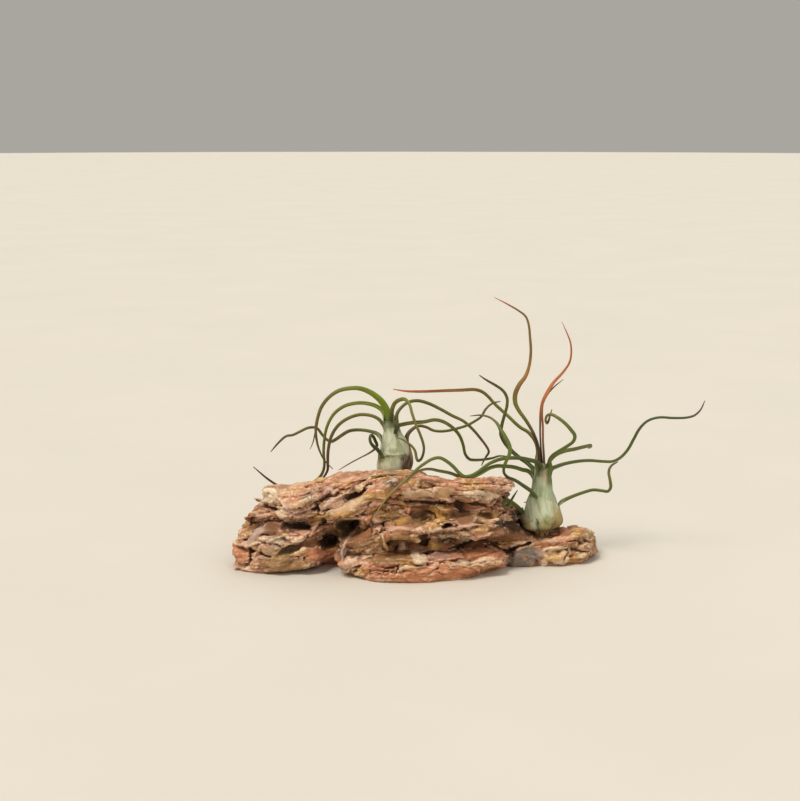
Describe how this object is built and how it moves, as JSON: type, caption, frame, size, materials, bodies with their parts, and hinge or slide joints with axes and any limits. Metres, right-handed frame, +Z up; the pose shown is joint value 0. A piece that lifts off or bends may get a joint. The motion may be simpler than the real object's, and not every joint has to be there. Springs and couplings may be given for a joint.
{
  "type": "air plant",
  "caption": "Bulb-based air plants with long, rolled, winding leaves, held by a layered, weathered stone that stands on its own flat underside.",
  "frame": {"origin": "on the surface that the stone stands on, under the middle of the stone", "axes": "+X along the stone towards the larger plant, +Y away from the stone's front, +Z up"},
  "size_m": [0.3111, 0.1283, 0.1739],
  "materials": {
    "stone": "dry, rough, banded ochre, salmon and grey",
    "leaf_green": "dull, faintly furred green",
    "leaf_olive": "dull olive, browner to the tip",
    "young_leaf_green": "dull yellow-green",
    "young_leaf_amber": "dull green at the bulb, rust at the tips"
  },
  "bodies": {
    "root": {"stone": "stone", "left_heart": "young_leaf_green", "left_small_curl": "leaf_olive", "left_thin_right": "leaf_olive", "left_right_wave": "leaf_olive", "left_low_wave": "leaf_olive", "left_right_arch": "leaf_olive", "left_front_hook": "leaf_olive", "left_drooping": "leaf_olive", "left_long_tail": "leaf_green", "left_back_fall": "leaf_olive", "right_heart": "young_leaf_amber", "right_front_twist": "leaf_green", "right_low_left": "leaf_green", "right_low_right": "leaf_green", "right_trailing_long": "leaf_olive", "right_trailing_short": "leaf_olive", "right_raised_loop": "leaf_green", "right_long_right": "leaf_green", "right_back_left": "leaf_green", "right_back_reach": "leaf_green", "right_long_left": "leaf_olive", "right_short_right": "leaf_green"}
  },
  "joints": []
}
